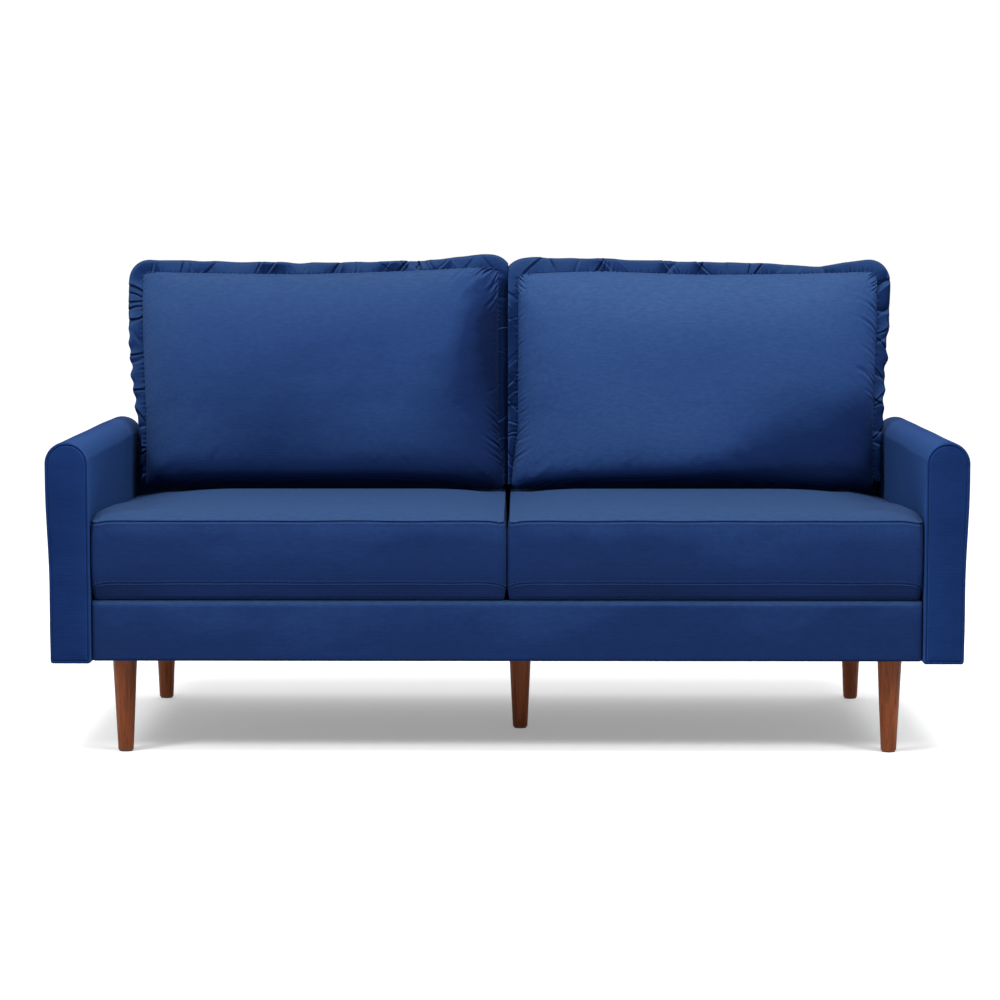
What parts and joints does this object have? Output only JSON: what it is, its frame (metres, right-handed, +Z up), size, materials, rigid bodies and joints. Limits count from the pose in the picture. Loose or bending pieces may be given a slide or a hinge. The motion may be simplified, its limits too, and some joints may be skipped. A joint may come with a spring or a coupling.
{
  "type": "upholstered sofa",
  "caption": "Sofa with slim rounded arms, box seat cushions, ruffle-edged back cushions and tapered round wooden legs, upholstered in blue velvet over a timber frame.",
  "frame": {"origin": "on the floor under the centre of the sofa's width and depth", "axes": "+X along the sofa to the right of someone facing it, +Y to the rear, +Z up"},
  "size_m": [1.77, 0.79, 0.9498],
  "materials": {
    "walnut_leg": "satin stained wood with long grain",
    "black_nylon": "matte moulded nylon",
    "zinc_steel": "bright zinc plate",
    "black_cambric": "matte non-woven cloth",
    "fibre_felt": "matte needled felt",
    "fibre_fill": "soft polyester fibre",
    "cream_foam": "matte open-cell foam",
    "jute_webbing": "coarse plain weave",
    "hardboard": "pressed fibre board",
    "blue_velvet": "short-pile velvet with a soft sheen",
    "frame_timber": "planed softwood, unfinished"
  },
  "bodies": {
    "sofa_frame": {"leg_front_left": "walnut_leg", "leg_front_right": "walnut_leg", "leg_rear_left": "walnut_leg", "leg_rear_right": "walnut_leg", "leg_centre": "walnut_leg", "leg_glides": "black_nylon", "leg_hanger_bolts": "zinc_steel", "t_nuts": "zinc_steel", "base_front_rail": "frame_timber", "base_rear_rail": "frame_timber", "base_spring_rail": "frame_timber", "base_left_rail": "frame_timber", "base_right_rail": "frame_timber", "base_centre_rail": "frame_timber", "base_corner_blocks": "frame_timber", "sinuous_springs": "zinc_steel", "spring_clips": "zinc_steel", "spring_pad": "fibre_felt", "deck_foam": "cream_foam", "deck_cover": "black_cambric", "front_rail_cover": "blue_velvet", "dust_cover": "black_cambric", "arm_left_front_post": "frame_timber", "arm_left_rear_post": "frame_timber", "arm_left_top_rail": "frame_timber", "arm_left_bottom_rail": "frame_timber", "arm_left_boards": "hardboard", "arm_left_foam": "cream_foam", "arm_left_cover": "blue_velvet", "arm_left_front_panel": "blue_velvet", "arm_right_front_post": "frame_timber", "arm_right_rear_post": "frame_timber", "arm_right_top_rail": "frame_timber", "arm_right_bottom_rail": "frame_timber", "arm_right_boards": "hardboard", "arm_right_foam": "cream_foam", "arm_right_cover": "blue_velvet", "arm_right_front_panel": "blue_velvet", "back_left_post": "frame_timber", "back_right_post": "frame_timber", "back_centre_post": "frame_timber", "back_top_rail": "frame_timber", "back_bottom_rail": "frame_timber", "back_webbing": "jute_webbing", "back_foam": "cream_foam", "back_cover": "blue_velvet", "back_bracket_tongues": "zinc_steel", "arm_bracket_channels": "zinc_steel", "arm_bolts": "zinc_steel"},
    "seat_cushion_left": {"seat_cushion_left_foam": "cream_foam", "seat_cushion_left_cover": "blue_velvet"},
    "seat_cushion_right": {"seat_cushion_right_foam": "cream_foam", "seat_cushion_right_cover": "blue_velvet"},
    "back_cushion_left": {"back_cushion_left_fill": "fibre_fill", "back_cushion_left_cover": "blue_velvet", "back_cushion_left_flange": "blue_velvet"},
    "back_cushion_right": {"back_cushion_right_fill": "fibre_fill", "back_cushion_right_cover": "blue_velvet", "back_cushion_right_flange": "blue_velvet"}
  },
  "joints": [
    {"name": "seat_cushion_left_pull", "type": "slide", "parent": "sofa_frame", "child": "seat_cushion_left", "axis": [0, -1, 0], "range_m": [0, 0.72]},
    {"name": "seat_cushion_right_pull", "type": "slide", "parent": "sofa_frame", "child": "seat_cushion_right", "axis": [0, -1, 0], "range_m": [0, 0.72]},
    {"name": "back_cushion_left_lift", "type": "slide", "parent": "sofa_frame", "child": "back_cushion_left", "axis": [0, 0, 1], "range_m": [0, 0.5]},
    {"name": "back_cushion_right_lift", "type": "slide", "parent": "sofa_frame", "child": "back_cushion_right", "axis": [0, 0, 1], "range_m": [0, 0.5]}
  ]
}
